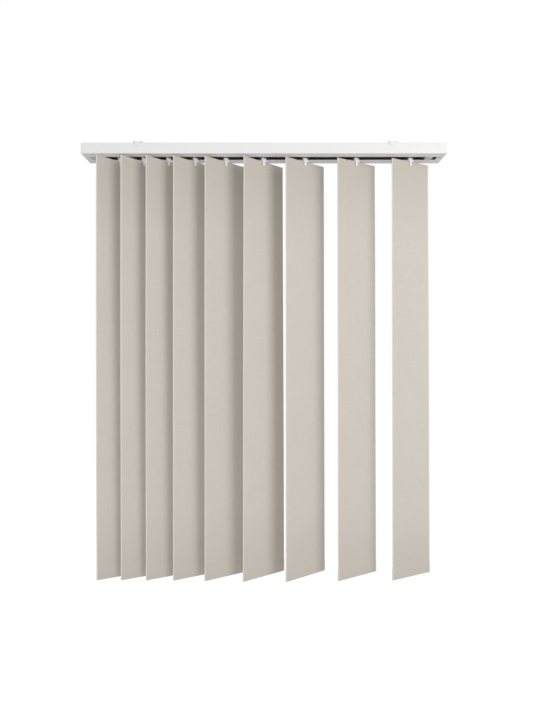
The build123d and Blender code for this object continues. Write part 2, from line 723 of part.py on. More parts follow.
# Blade and fork of a hook, drawn for a vane along X with the room side towards -Y
half_pocket = top_pocket_thickness / 2
leg_inner = half_pocket + leg_gap
leg_outer = leg_inner + tongue_leg_thickness
with BuildPart() as hook_form:
    with BuildSketch(Plane.XZ.offset(-blade_thickness / 2)):
        with BuildLine():
            Polyline(
                (-blade_top_front, blade_top),
                (blade_top_back, blade_top),
                (blade_foot_back, blade_foot + blade_foot_height),
                (blade_foot_back, blade_foot),
                (-blade_foot_front, blade_foot),
                (-blade_foot_front, blade_foot + blade_foot_height),
                close=True,
            )
        make_face()
    extrude(amount=blade_thickness)
    for side, length in ((1, front_leg), (-1, back_leg)):
        with BuildSketch(Plane.XY.offset(blade_foot - length)):
            with Locations((0, -side * (leg_inner + leg_outer) / 2)):
                Rectangle(tongue_leg_width, tongue_leg_thickness)
        extrude(amount=length)
    with BuildSketch(Plane.XZ.offset(leg_outer)):
        with Locations((0, blade_foot - hook_peg_drop)):
            RegularPolygon(hook_peg_radius, 8)
    extrude(amount=-leg_inner - leg_outer)


def turned_cloth(foot_turn, top_turn):
    """A vane about its own axis: cloth between two sewn pockets, turning evenly from foot to top."""
    levels = [(0.0, foot_pocket_thickness), (foot_pocket, foot_pocket_thickness)]
    panel_foot = foot_pocket + seam_height
    panel_top = vane_drop - top_pocket - seam_height
    for span in range(panel_spans + 1):
        levels.append((panel_foot + (panel_top - panel_foot) * span / panel_spans, cloth_thickness))
    levels += [(vane_drop - top_pocket, top_pocket_thickness), (vane_drop, top_pocket_thickness)]
    sections = []
    for level, thickness in levels:
        turn = radians(foot_turn + (top_turn - foot_turn) * level / vane_drop)
        across = Vector(cos(turn), sin(turn), 0) * (vane_width / 2)
        through = Vector(-sin(turn), cos(turn), 0) * (thickness / 2)
        middle = Vector(0, 0, vane_foot + level)
        front, back = middle - through, middle + through
        sections.append([front - across, front + across, back + across, back - across])
    with BuildPart() as vane_form:
        add(faceted_prism(sections))
        hole_plane = Plane(
            origin=(0, 0, blade_foot - hook_peg_drop + hook_peg_radius - hook_hole_height / 2),
            x_dir=(cos(radians(top_turn)), sin(radians(top_turn)), 0),
            z_dir=(sin(radians(top_turn)), -cos(radians(top_turn)), 0),
        )
        with BuildSketch(hole_plane.offset(-top_pocket_thickness)) as hook_hole:
            Rectangle(hook_hole_length, hook_hole_height)
            chamfer(hook_hole.vertices(), hook_hole_bevel)
        extrude(amount=2 * top_pocket_thickness, mode=Mode.SUBTRACT)
    return vane_form


last = len(vane_stations)
for number, (station, top_turn, foot_turn) in enumerate(zip(vane_stations, vane_top_turn, vane_foot_turn), 1):
    x = first_vane_x + station * (last_vane_x - first_vane_x)
    with BuildPart() as carrier:
        with Locations((x, 0, 0)):
            add(carrier_form.part)
            if number < last:
                add(peg_form.part)
    carrier.part.label = f"carrier_{number}"
    export_step(carrier.part, f"parts/carrier_{number}.step")

    with BuildPart() as worm:
        with Locations(Plane(origin=(x, rod_y, axis_z), x_dir=(0, -1, 0), z_dir=(1, 0, 0)).location):
            add(worm_form.part)
    worm.part.label = f"worm_{number}"
    export_step(worm.part, f"parts/worm_{number}.step")

    with BuildPart() as hook:
        with Locations((x, 0, 0)):
            add(hook_shaft_form.part)
        with Locations(Location((x, 0, 0), (0, 0, top_turn))):
            add(hook_form.part)
    hook.part.label = f"vane_hook_{number}"
    export_step(hook.part, f"parts/vane_hook_{number}.step")

    with BuildPart() as vane:
        with Locations((x, 0, 0)):
            add(turned_cloth(foot_turn, top_turn).part)
    vane.part.label = f"vane_{number}"
    export_step(vane.part, f"parts/vane_{number}.step")

    if number < last:
        with BuildPart() as spacer_strip:
            with Locations((x, 0, 0)):
                add(strip_form.part)
        spacer_strip.part.label = f"spacer_strip_{number}"
        export_step(spacer_strip.part, f"parts/spacer_strip_{number}.step")

# Clamp that holds the draw cord on the leading carrier
clamp_length = 12.0
clamp_width = 5.0
clamp_y = cord_spread_y - return_pulley_radius
with BuildPart() as cord_clamp:
    with BuildSketch(Plane.XY.offset(carrier_top)):
        with Locations((last_vane_x, clamp_y)):
            Rectangle(clamp_length, clamp_width)
    extrude(amount=cord_z + cord_groove - carrier_top)
    with BuildSketch(Plane.YZ.offset(last_vane_x - clamp_length / 2)):
        with Locations((clamp_y, cord_z + cord_groove)):
            Circle(cord_groove)
    extrude(amount=clamp_length, mode=Mode.SUBTRACT)
cord_clamp.part.label = "cord_clamp"
export_step(cord_clamp.part, "parts/cord_clamp.step")
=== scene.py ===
import json
import math

import bmesh
import bpy
from bpy.props import FloatProperty, FloatVectorProperty, IntProperty, PointerProperty
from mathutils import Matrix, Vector


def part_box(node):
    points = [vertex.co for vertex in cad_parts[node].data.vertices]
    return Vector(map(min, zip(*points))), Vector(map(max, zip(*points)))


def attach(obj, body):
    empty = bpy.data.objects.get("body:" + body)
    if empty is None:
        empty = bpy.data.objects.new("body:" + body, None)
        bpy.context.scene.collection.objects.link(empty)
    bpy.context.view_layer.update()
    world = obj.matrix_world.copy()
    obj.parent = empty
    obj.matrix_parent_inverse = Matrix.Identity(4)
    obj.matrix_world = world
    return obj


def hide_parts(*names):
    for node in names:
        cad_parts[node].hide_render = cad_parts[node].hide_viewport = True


bl_info = {
    "name": "Vertical Blind Dresser",
    "version": (1, 0, 0),
    "blender": (4, 5, 0),
    "location": "View3D > Sidebar > Blind",
    "description": "Hangs cloth vanes on a vertical blind's frame, finishes its rail and lights it",
    "category": "Object",
}

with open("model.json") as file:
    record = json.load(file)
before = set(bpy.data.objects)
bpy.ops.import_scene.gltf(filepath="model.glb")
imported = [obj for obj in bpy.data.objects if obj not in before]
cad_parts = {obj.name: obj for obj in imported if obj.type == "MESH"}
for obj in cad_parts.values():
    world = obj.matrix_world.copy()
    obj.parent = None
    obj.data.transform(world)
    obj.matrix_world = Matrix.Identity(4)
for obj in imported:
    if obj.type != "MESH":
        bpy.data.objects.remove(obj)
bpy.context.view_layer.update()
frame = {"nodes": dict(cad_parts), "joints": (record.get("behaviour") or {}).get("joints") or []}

# How far each vane is turned at its top and at its foot, in degrees, and how far its foot swings to
# the right, in metres. These are fitted to the photograph and depart from the CAD vanes, by up
# to 2.5 degrees at the top and 6 degrees at the foot.
VANE_HANG = (
    (36.0, 16.5, 0.0015),
    (35.0, 16.5, 0.0020),
    (33.5, 17.0, 0.0022),
    (31.5, 18.0, 0.0022),
    (29.5, 20.0, 0.0024),
    (29.5, 23.0, 0.0008),
    (25.5, 24.0, 0.0018),
    (21.0, 20.0, 0.0030),
    (18.5, 17.0, 0.0035),
)
TILT_AXIS = {j["name"]: Vector(j["pos_m"]) for j in frame["joints"] if j["name"].startswith("tilt_")}

# The hook hole's rows above and below its middle, and its half width, in metres
HOLE_ROWS = (-0.0020, -0.0012, 0.0, 0.0012, 0.0020)
HOLE_HALF = 0.0045

# How the pockets are folded, in metres: the lap past each seam, the start of the pocket, the rise over
# the plate and over the weight, and the height and roundness of each fold
SEAM_LAP = 0.0026
POCKET_START = 0.0006
PLATE_RISE = 0.0010
WEIGHT_RISE = 0.0012
TOP_FOLD, TOP_ROUND = 0.0014, 0.00115
FOOT_FOLD, FOOT_ROUND = 0.0016, 0.00135
FOLD_STEPS = 6
POCKET_ROWS = 5
LAYER_GAP = 1.02

# Where the cloth leaves its pockets, and the stretch over which it starts to bow, as shares of the drop
FOOT_FREE, TOP_FREE, BOW_START = 0.03, 0.975, 0.12

# Inside of the rail, in metres: half its depth, its floor and its ceiling, and the heights between which
# its back wall goes from painted shade to painted light, where light through the slot would fall, to look as
# it does in the photograph
INSIDE_HALF = 0.02475
INSIDE_FLOOR = -0.03225
INSIDE_CEILING = -0.0043
LIT_WALL = (-0.0200, -0.0180)

# Repeats of the weave and of the sewing thread's twist, and where the sealed edge begins and is full
WEAVE_REPEAT = 0.00062
TWIST_REPEAT = 0.00045
EDGE_BEGINS, EDGE_FULL = 0.0030, 0.0020

# Half the floor's side, and the sides, place and aim of the two lamps, in metres
FLOOR_HALF = 30.0
KEY_LAMP = ((1.4, 1.6), (1.85, -1.6, -0.1), (0.1, 0.0, -0.6))
FILL_LAMP = ((1.5, 1.5), (-0.8, -2.2, -0.62), (0.0, 0.0, -0.62))


# ---------------------------------------------------------------- sizes and colours


class ClothSizes(bpy.types.PropertyGroup):
    width: FloatProperty(
        name="Vane width",
        description="Width of the cloth from edge to edge",
        default=0.127,
        unit="LENGTH",
    )
    # Painted shade: the length of cloth whose ends get a darker painted tone for the light falling off
    # towards the top and foot
    end_shade_length: FloatProperty(
        name="Tone length",
        description="Length of cloth over which its tone deepens towards both ends",
        default=1.245,
        unit="LENGTH",
    )
    thickness: FloatProperty(
        name="Cloth thickness",
        description="Thickness of one layer of the cloth",
        default=0.0005,
        unit="LENGTH",
    )
    top_hem: FloatProperty(
        name="Top pocket",
        description="Height of the pocket that holds the hanger plate",
        default=0.020,
        unit="LENGTH",
    )
    foot_hem: FloatProperty(
        name="Foot pocket",
        description="Height of the pocket that holds the weight",
        default=0.034,
        unit="LENGTH",
    )
    top_bulk: FloatProperty(
        name="Top pocket bulk",
        description="Thickness of the top pocket over the hanger plate",
        default=0.0018,
        unit="LENGTH",
    )
    foot_bulk: FloatProperty(
        name="Foot pocket bulk",
        description="Thickness of the foot pocket over the weight",
        default=0.0024,
        unit="LENGTH",
    )
    hole_drop: FloatProperty(
        name="Hook hole drop",
        description="Distance from the top of the vane to the middle of the hole for the hook",
        default=0.0072,
        unit="LENGTH",
    )
    sway: FloatProperty(
        name="Sway",
        description="How far the hanging cloth bows out of flat",
        default=0.0007,
        unit="LENGTH",
    )
    columns: IntProperty(
        name="Columns",
        description="Columns of faces between the hook hole and each edge",
        default=9,
        min=3,
        max=24,
    )
    rows: IntProperty(
        name="Rows",
        description="Rows of faces on the plain part of the vane",
        default=64,
        min=8,
        max=200,
    )


class StitchSizes(bpy.types.PropertyGroup):
    pitch: FloatProperty(
        name="Stitch pitch",
        description="Distance from one stitch to the next",
        default=0.0030,
        unit="LENGTH",
    )
    length: FloatProperty(
        name="Stitch length",
        description="Length of thread that shows in one stitch",
        default=0.0024,
        unit="LENGTH",
    )
    thread: FloatProperty(
        name="Thread thickness",
        description="Thickness of the sewing thread",
        default=0.00032,
        unit="LENGTH",
    )
    margin: FloatProperty(
        name="Seam margin",
        description="Distance from the raw edge of a pocket to its seam",
        default=0.0022,
        unit="LENGTH",
    )


class Finishes(bpy.types.PropertyGroup):
    cloth: FloatVectorProperty(
        name="Cloth",
        description="Colour of the vanes",
        default=(0.635, 0.585, 0.522),
        subtype="COLOR",
        min=0.0,
        max=1.0,
    )
    selvedge: FloatVectorProperty(
        name="Selvedge",
        description="Colour of the sealed edges of the vanes",
        default=(0.78, 0.735, 0.665),
        subtype="COLOR",
        min=0.0,
        max=1.0,
    )
    # Painted shade: this near-black colour on the inside of the rail stands for the shade in there, not for
    # the rail's own finish
    rail_inside_shade: FloatVectorProperty(
        name="Rail inside",
        description="Colour of the dark inside of the rail and its caps",
        default=(0.014, 0.014, 0.015),
        subtype="COLOR",
        min=0.0,
        max=1.0,
    )
    rail: FloatVectorProperty(
        name="Rail coat",
        description="Colour of the powder coat on the rail",
        default=(0.895, 0.895, 0.89),
        subtype="COLOR",
        min=0.0,
        max=1.0,
    )
    fitting: FloatVectorProperty(
        name="White fittings",
        description="Colour of the caps, hooks and wheels",
        default=(0.895, 0.895, 0.887),
        subtype="COLOR",
        min=0.0,
        max=1.0,
    )
    housing: FloatVectorProperty(
        name="Housings",
        description="Colour of the housings in the rail's ends",
        default=(0.62, 0.62, 0.61),
        subtype="COLOR",
        min=0.0,
        max=1.0,
    )
    traveller: FloatVectorProperty(
        name="Travellers",
        description="Colour of the carriers in the rail",
        default=(0.012, 0.012, 0.013),
        subtype="COLOR",
        min=0.0,
        max=1.0,
    )


class StageSizes(bpy.types.PropertyGroup):
    lens: FloatProperty(
        name="Lens",
        description="Focal length that gives the photograph's wide view",
        default=17.0,
        subtype="DISTANCE_CAMERA",
    )
    distance: FloatProperty(
        name="Camera distance",
        description="Distance from the camera to the rail's middle line",
        default=0.972,
        unit="LENGTH",
    )
    height: FloatProperty(
        name="Camera height",
        description="Height of the camera measured from the ceiling",
        default=-0.5816,
        unit="LENGTH",
    )
    offset: FloatProperty(
        name="Camera offset",
        description="How far the camera stands to the right of the clips' middle",
        default=0.013,
        unit="LENGTH",
    )
    rise: FloatProperty(
        name="Lens shift",
        description="Upward shift of the lens that sets the horizon",
        default=-0.0135,
    )
    floor: FloatProperty(
        name="Floor level",
        description="Height of the floor measured from the ceiling",
        default=-2.3,
        unit="LENGTH",
    )
    key: FloatProperty(
        name="Key light",
        description="Power of the large soft light at the right",
        default=28.0,
        min=0.0,
    )
    fill: FloatProperty(
        name="Fill light",
        description="Power of the soft light at the left",
        default=16.0,
        min=0.0,
    )
    sky: FloatProperty(
        name="Room light",
        description="Strength of the even light from all round",
        default=0.45,
        min=0.0,
    )


# ---------------------------------------------------------------- materials


class Wire:
    """A value in a material, usable in Python expressions."""

    def __init__(self, bench, socket):
        self.bench = bench
        self.socket = socket

    def math(self, operation, *others):
        return self.bench.node(
            "ShaderNodeMath", {"operation": operation}, {i: v for i, v in enumerate((self,) + others)}
        )

    def __add__(self, other):
        return self.math("ADD", other)

    def __sub__(self, other):
        return self.math("SUBTRACT", other)

    def __mul__(self, other):
        return self.math("MULTIPLY", other)

    def __radd__(self, other):
        return self + other

    def __rmul__(self, other):
        return self * other

    def __rsub__(self, other):
        return self.bench.node("ShaderNodeMath", {"operation": "SUBTRACT"}, {0: other, 1: self})

    def __abs__(self):
        return self.math("ABSOLUTE")

    def sine(self):
        return self.math("SINE")

    def over(self, edge):
        return self.math("GREATER_THAN", edge)

    def ramp(self, low, high):
        """0 below low, 1 above high, smooth between."""
        return self.bench.node(
            "ShaderNodeMapRange",
            {"interpolation_type": "SMOOTHSTEP", "clamp": True},
            {"Value": self, "From Min": low, "From Max": high},
        )


class Bench:
    """Builds one material from nodes."""

    def __init__(self, name):
        old = bpy.data.materials.get(name)
        if old is not None:
            bpy.data.materials.remove(old)
        self.material = bpy.data.materials.new(name)
        self.material.use_nodes = True
        self.tree = self.material.node_tree
        self.tree.nodes.clear()

    def node(self, kind, settings=None, inputs=None, output=0):
        made = self.tree.nodes.new(kind)
        for key, value in (settings or {}).items():
            setattr(made, key, value)
        for key, value in (inputs or {}).items():
            if isinstance(value, Wire):
                self.tree.links.new(value.socket, made.inputs[key])
            elif value is not None:
                made.inputs[key].default_value = value
        return Wire(self, made.outputs[output]) if len(made.outputs) else None

    def place(self):
        return self.node("ShaderNodeTexCoord", output="Object")

    def cloth_place(self):
        return self.node("ShaderNodeUVMap", {"uv_map": "cut"})

    def part(self, vector, axis):
        return self.node("ShaderNodeSeparateXYZ", inputs={0: vector}, output=axis)

    def stretched(self, vector, scale):
        return self.node("ShaderNodeVectorMath", {"operation": "MULTIPLY"}, {0: vector, 1: scale})

    def noise(self, vector, scale, detail=2.0, rough=0.5):
        return self.node(
            "ShaderNodeTexNoise",
            {"noise_dimensions": "3D"},
            {"Vector": vector, "Scale": scale, "Detail": detail, "Roughness": rough},
        )

    def blend(self, amount, first, second):
        return self.node(
            "ShaderNodeMix",
            {"data_type": "RGBA", "clamp_factor": True},
            {0: amount, 6: first, 7: second},
            output=2,
        )

    def bump(self, height, distance, strength=1.0):
        return self.node(
            "ShaderNodeBump", inputs={"Strength": strength, "Distance": distance, "Height": height}
        )

    def surface(self, **inputs):
        named = {key.replace("_", " ").title().replace("Ior", "IOR"): value for key, value in inputs.items()}
        shader = self.node("ShaderNodeBsdfPrincipled", inputs=named)
        self.node("ShaderNodeOutputMaterial", inputs={"Surface": shader})
        return self.material


def solid(colour, gain=1.0):
    return tuple(min(c * gain, 1.0) for c in colour[:3]) + (1.0,)


def hollow_mask(bench, place):
    """1 on the faces inside the rail, 0 on its outer faces."""
    depth = abs(bench.part(place, "Y"))
    height = bench.part(place, "Z")
    level = height.over(INSIDE_FLOOR) * (1.0 - height.over(INSIDE_CEILING))
    return (1.0 - depth.over(INSIDE_HALF)) * level


def powder_coat(name, colour, inside):
    """White coat on the extruded rail: a fine orange peel over faint lines from the die, and an inside
    painted dark to stand for its shade, with painted light on the upper part of its back wall."""
    bench = Bench(name)
    place = bench.place()
    hollow = hollow_mask(bench, place)
    # Painted light: the upper part of the inside's back wall is made paler, where light through the slot
    # would fall
    lit = bench.part(place, "Y").over(0.0) * bench.part(place, "Z").ramp(*LIT_WALL)
    die = bench.noise(bench.stretched(place, (3.0, 900.0, 900.0)), 1.0, 3.0, 0.6)
    peel = bench.noise(place, 520.0, 2.0, 0.45)
    broad = bench.noise(bench.stretched(place, (2.0, 14.0, 14.0)), 1.0, 2.0)
    tone = bench.blend(
        (die * 0.35 + broad * 0.65).ramp(0.3, 0.75), solid(colour, 0.975), solid(colour, 1.012)
    )
    # Painted shade: the inside gets a near-black tone for the shade in the rail, and a grey one over its
    # upper back wall for painted light
    dark = bench.blend(die, solid(inside, 0.7), solid(inside, 1.2))
    tone = bench.blend(hollow, tone, bench.blend(lit, dark, solid(colour, 0.42)))
    height = peel * 0.8 + die * 0.25
    return bench.surface(
        base_color=tone,
        roughness=0.34 + peel * 0.12 + hollow * 0.3,
        normal=bench.bump(height, 0.00006, 0.5),
        specular_ior_level=0.45,
    )


def moulded(name, colour, gloss, grain, seed=0.0):
    """Injection moulded plastic: a fine spark texture, a little flow shading and soft sheen."""
    bench = Bench(name)
    place = bench.place()
    shifted = bench.node(
        "ShaderNodeVectorMath", {"operation": "ADD"}, {0: place, 1: (seed, seed * 0.37, -seed)}
    )
    spark = bench.noise(shifted, 2600.0, 2.0, 0.6)
    flow = bench.noise(bench.stretched(shifted, (60.0, 110.0, 90.0)), 1.0, 3.0, 0.55)
    sink = bench.noise(shifted, 95.0, 1.0, 0.4)
    tone = bench.blend(flow.ramp(0.25, 0.8), solid(colour, 0.955), solid(colour, 1.015))
    return bench.surface(
        base_color=tone,
        roughness=gloss + flow * 0.1 + spark * 0.05,
        normal=bench.bump(spark * grain + sink * 0.6, 0.00005, 0.45),
        specular_ior_level=0.5,
    )


def drawn_metal(name, colour, lines, rough):
    """Drawn or rolled bare metal with long fine lines along the rail."""
    bench = Bench(name)
    place = bench.place()
    long_lines = bench.noise(bench.stretched(place, (6.0, lines, lines)), 1.0, 3.0, 0.65)
    stain = bench.noise(place, 60.0, 3.0, 0.5)
    tone = bench.blend(long_lines.ramp(0.3, 0.7), solid(colour, 0.86), solid(colour, 1.06))
    return bench.surface(
        base_color=tone,
        metallic=1.0,
        roughness=rough + long_lines * 0.16 + stain * 0.06,
        normal=bench.bump(long_lines, 0.00002, 0.4),
    )


def coated_spring(name, colour):
    """White coat over spring steel: smooth and slightly mottled."""
    bench = Bench(name)
    place = bench.place()
    cloud = bench.noise(place, 210.0, 3.0, 0.5)
    fine = bench.noise(place, 1500.0, 1.0)
    tone = bench.blend(cloud.ramp(0.3, 0.8), solid(colour, 0.97), solid(colour, 1.02))
    return bench.surface(
        base_color=tone,
        roughness=0.26 + cloud * 0.12,
        normal=bench.bump(cloud * 0.5 + fine * 0.5, 0.00003, 0.4),
    )


def vane_cloth(name, colour, edge_colour, width, end_shade_length, seed):
    """Plain woven cloth, read from the cut's own map in metres: threads, slubs, a sealed pale edge and
    painted shade towards both ends, for the light falling off there, where the photograph is darker."""
    bench = Bench(name)
    cut = bench.cloth_place()
    across = bench.part(cut, "X")
    along = bench.part(cut, "Y")
    own_piece = (seed * 3.7, seed * 1.9, seed)
    place = bench.node("ShaderNodeVectorMath", {"operation": "ADD"}, {0: cut, 1: own_piece})
    wander = bench.noise(place, 220.0, 2.0) * 0.00018
    turns = math.tau / WEAVE_REPEAT
    warp = ((across + wander) * turns).sine()
    weft = ((along + wander) * turns).sine()
    thread = abs(warp) * 0.5 + abs(weft) * 0.5
    over_under = (warp * weft).ramp(-0.6, 0.6)
    slub_long = bench.noise(bench.stretched(place, (1500.0, 26.0, 1.0)), 1.0, 2.0, 0.6)
    slub_wide = bench.noise(bench.stretched(place, (26.0, 1500.0, 1.0)), 1.0, 2.0, 0.6)
    slub = (slub_long + slub_wide) * 0.5
    cloud = bench.noise(place, 9.0, 3.0, 0.5)
    # Painted shade: the cloth turns darker towards both ends, for the light falling off at the top and foot
    from_middle = abs(along - end_shade_length / 2.0)
    painted_end_shade = from_middle.ramp(end_shade_length * 0.28, end_shade_length * 0.52)
    body = bench.blend(slub.ramp(0.36, 0.64), solid(colour, 0.93), solid(colour, 1.06))
    body = bench.blend(over_under * 0.22, body, solid(colour, 0.88))
    body = bench.blend(cloud.ramp(0.35, 0.75) * 0.25, body, solid(colour, 1.05))
    body = bench.blend(painted_end_shade * 0.8, body, solid(colour, 0.84))
    from_edge = abs(across - width / 2.0)
    sealed = from_edge.ramp(width / 2.0 - EDGE_BEGINS, width / 2.0 - EDGE_FULL)
    melt = bench.noise(place, 900.0, 2.0)
    pale = bench.blend(melt.ramp(0.3, 0.7), solid(edge_colour, 0.95), solid(edge_colour, 1.04))
    tone = bench.blend(sealed, body, pale)
    height = thread * (1.0 - sealed * 0.8) + slub * 0.5
    return bench.surface(
        base_color=tone,
        roughness=0.86 - sealed * 0.18 + slub * 0.06,
        normal=bench.bump(height, 0.00009, 0.5),
        specular_ior_level=0.25,
        sheen_weight=0.12,
        sheen_roughness=0.5,
    )


def sewing_thread(name, colour):
    """Twisted polyester thread."""
    bench = Bench(name)
    place = bench.place()
    lay = bench.part(place, "X") + bench.part(place, "Z") * 1.3
    twist = (lay * (math.tau / TWIST_REPEAT)).sine()
    fuzz = bench.noise(place, 4000.0, 2.0)
    tone = bench.blend(twist.ramp(-0.8, 0.8), solid(colour, 0.9), solid(colour, 1.06))
    return bench.surface(
        base_color=tone,
        roughness=0.62 + fuzz * 0.12,
        normal=bench.bump(twist * 0.6 + fuzz * 0.4, 0.00003, 0.5),
    )


def stage_floor(name):
    """Pale floor that looks white from any side and still takes a soft shadow."""
    bench = Bench(name)
    rays = bench.tree.nodes.new("ShaderNodeLightPath")
    seen = Wire(bench, rays.outputs["Is Camera Ray"]) + Wire(bench, rays.outputs["Is Glossy Ray"])
    seen = (seen + Wire(bench, rays.outputs["Is Transmission Ray"])).math("MINIMUM", 1.0)
    grain = bench.noise(bench.place(), 3.0, 3.0)
    paint = bench.node(
        "ShaderNodeBsdfDiffuse",
        inputs={"Color": bench.blend(grain, (0.76, 0.76, 0.76, 1.0), (0.79, 0.79, 0.79, 1.0))},
    )
    glow = bench.node("ShaderNodeEmission", inputs={"Color": (1.0, 1.0, 1.0, 1.0), "Strength": 1.12})
    mixed = bench.node("ShaderNodeMixShader", inputs={0: seen * 0.85, 1: paint, 2: glow})
    bench.node("ShaderNodeOutputMaterial", inputs={"Surface": mixed})
    return bench.material


# ---------------------------------------------------------------- helpers


def place_mesh(name, mesh, material=None):
    """A new object at the origin that shows the mesh."""
    mesh.name = name
    piece = bpy.data.objects.new(name, mesh)
    bpy.context.scene.collection.objects.link(piece)
    if material is not None:
        mesh.materials.clear()
        mesh.materials.append(material)
    return piece


def bake_modifiers(piece):
    """Turns a piece with modifiers into a plain mesh."""
    shaped = bpy.data.meshes.new_from_object(piece.evaluated_get(bpy.context.evaluated_depsgraph_get()))
    piece.modifiers.clear()
    old = piece.data
    piece.data = shaped
    bpy.data.meshes.remove(old)
    return piece


def finish_nodes(names, material):
    """Gives CAD nodes their finish."""
    for name in names:
        node = frame["nodes"][name]
        if not node.material_slots:
            node.data.materials.append(material)
        for held in node.material_slots:
            held.material = material


def spread(low, high, steps):
    return [low + (high - low) * i / steps for i in range(1, steps + 1)]


# ---------------------------------------------------------------- vanes


HOLE_SHAPE = {
    (4.5, 0.0): (4.5, 0.0),
    (4.5, 1.2): (4.25, 0.98),
    (4.5, 2.0): (3.75, 1.56),
    (3.3, 2.0): (2.9, 1.96),
}


def side_profile(sizes, low, high):
    """The cloth's run seen from its side: (height, offset to the front) from the back of the top
    pocket, over the top, down the front and round the foot to the back of the foot pocket."""
    layer = sizes.thickness
    top_half = sizes.top_bulk / 2 - layer / 2
    foot_half = sizes.foot_bulk / 2 - layer / 2
    behind = -layer * LAYER_GAP
    top_seam = high - sizes.top_hem
    foot_seam = low + sizes.foot_hem
    top_fold = high - TOP_FOLD
    foot_fold = low + FOOT_FOLD
    hole_rows = [high - sizes.hole_drop + step for step in HOLE_ROWS]
    under_hole = (top_seam + hole_rows[0]) / 2
    angles = [math.pi * step / FOLD_STEPS for step in range(1, FOLD_STEPS)]
    run = [
        (top_seam - SEAM_LAP, behind),
        (top_seam - POCKET_START, behind),
        (top_seam + PLATE_RISE, -top_half),
        (under_hole, -top_half),
    ]
    run += [(z, -top_half) for z in hole_rows]
    run += [(high - SEAM_LAP, -top_half), (top_fold, -top_half)]
    run += [(top_fold + TOP_ROUND * math.sin(a), -top_half * math.cos(a)) for a in angles]
    run += [(top_fold, top_half), (high - SEAM_LAP, top_half)]
    run += [(z, top_half) for z in reversed(hole_rows)]
    run += [(under_hole, top_half), (top_seam + PLATE_RISE, top_half)]
    run += [(top_seam - POCKET_START, 0.0), (top_seam - SEAM_LAP, 0.0)]
    run += [(z, 0.0) for z in spread(top_seam - SEAM_LAP, foot_seam + SEAM_LAP, sizes.rows)]
    run += [(foot_seam + POCKET_START, 0.0), (foot_seam - WEIGHT_RISE, foot_half)]
    run += [(z, foot_half) for z in spread(foot_seam - WEIGHT_RISE, foot_fold, POCKET_ROWS)]
    run += [(foot_fold - FOOT_ROUND * math.sin(a), foot_half * math.cos(a)) for a in angles]
    run += [(foot_fold, -foot_half)]
    run += [(z, -foot_half) for z in spread(foot_fold, foot_seam - WEIGHT_RISE, POCKET_ROWS)]
    run += [(foot_seam + POCKET_START, behind), (foot_seam + SEAM_LAP, behind)]
    return run


def vane_axes(number, height, low, high):
    """The middle of a vane at a height, and the directions along it and out of it."""
    top, foot, swing = VANE_HANG[number - 1]
    share = (height - low) / (high - low)
    turn = math.radians(foot + (top - foot) * share)
    middle = TILT_AXIS[f"tilt_{number}"] + Vector((swing * (1.0 - share), 0.0, 0.0))
    along = Vector((math.cos(turn), math.sin(turn), 0.0))
    return middle, along, Vector((along.y, -along.x, 0.0))


def bow(number, across, height, low, high, sizes):
    """How far the hanging cloth stands out of flat, none at the pockets."""
    share = (height - low) / (high - low)
    above_foot = max(0.0, min(1.0, (share - FOOT_FREE) / BOW_START))
    below_top = max(0.0, min(1.0, (TOP_FREE - share) / BOW_START))
    side = across / (sizes.width / 2)
    cup = (1.0 - side * side) * math.sin(2.1 * number + 3.0 * share)
    ripple = 0.35 * math.sin(9.0 * share + 1.7 * number) * side
    curl = 0.45 * abs(side) ** 6 * math.sin(1.3 * number + 5.0 * share)
    return sizes.sway * above_foot * below_top * (cup + ripple + curl)


def weave_vane(number, sizes, material):
    """One vane as a single strip of cloth, folded over at its top and foot, with its hook hole."""
    node = f"vane_{number}"
    low_corner, high_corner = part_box(node)
    low, high = low_corner.z, high_corner.z
    half = sizes.width / 2
    right = [0.0011, 0.0033, HOLE_HALF]
    right += spread(HOLE_HALF, half - 0.003, sizes.columns) + [half - 0.0018, half]
    across = [-u for u in reversed(right)] + right
    run = side_profile(sizes, low, high)
    hole = high - sizes.hole_drop
    layer_mid = sizes.top_bulk / 2 - sizes.thickness / 2

    made = bmesh.new()
    cut = made.loops.layers.uv.new("cut")
    grid = []
    travelled = [0.0]
    for (z0, n0), (z1, n1) in zip(run, run[1:]):
        travelled.append(travelled[-1] + math.hypot(z1 - z0, n1 - n0))
    for height, offset in run:
        row = []
        for u in across:
            shaped_u, shaped_z = u, height
            if abs(abs(offset) - layer_mid) < 1e-9 and abs(height - hole) < 0.0021:
                key = (round(abs(u) * 1000, 1), round(abs(height - hole) * 1000, 1))
                if key in HOLE_SHAPE:
                    shaped_u = math.copysign(HOLE_SHAPE[key][0] / 1000, u)
                    shaped_z = hole + math.copysign(HOLE_SHAPE[key][1] / 1000, height - hole)
            middle, along, out = vane_axes(number, shaped_z, low, high)
            lift = offset + bow(number, shaped_u, shaped_z, low, high, sizes)
            spot = Vector((middle.x, middle.y, shaped_z)) + along * shaped_u + out * lift
            row.append(made.verts.new(spot))
        grid.append(row)
    for i in range(len(run) - 1):
        row_height = (run[i][0] + run[i + 1][0]) / 2
        in_hole_row = abs(row_height - hole) < HOLE_ROWS[-1] and abs(abs(run[i][1]) - layer_mid) < 1e-9
        for k in range(len(across) - 1):
            if in_hole_row and abs(across[k] + across[k + 1]) / 2 < HOLE_HALF:
                continue
            face = made.faces.new((grid[i][k], grid[i][k + 1], grid[i + 1][k + 1], grid[i + 1][k]))
            face.smooth = True
            spots = ((i, k), (i, k + 1), (i + 1, k + 1), (i + 1, k))
            for loop, (a, b) in zip(face.loops, spots):
                loop[cut].uv = (across[b] + half, travelled[a])
    mesh = bpy.data.meshes.new(node)
    made.to_mesh(mesh)
    made.free()
    piece = place_mesh(f"cloth_vane_{number}", mesh, material)
    thick = piece.modifiers.new("layer", "SOLIDIFY")
    thick.thickness = sizes.thickness
    thick.offset = 0.0
    thick.use_even_offset = True
    bake_modifiers(piece)
    return piece, travelled[-1], low, high


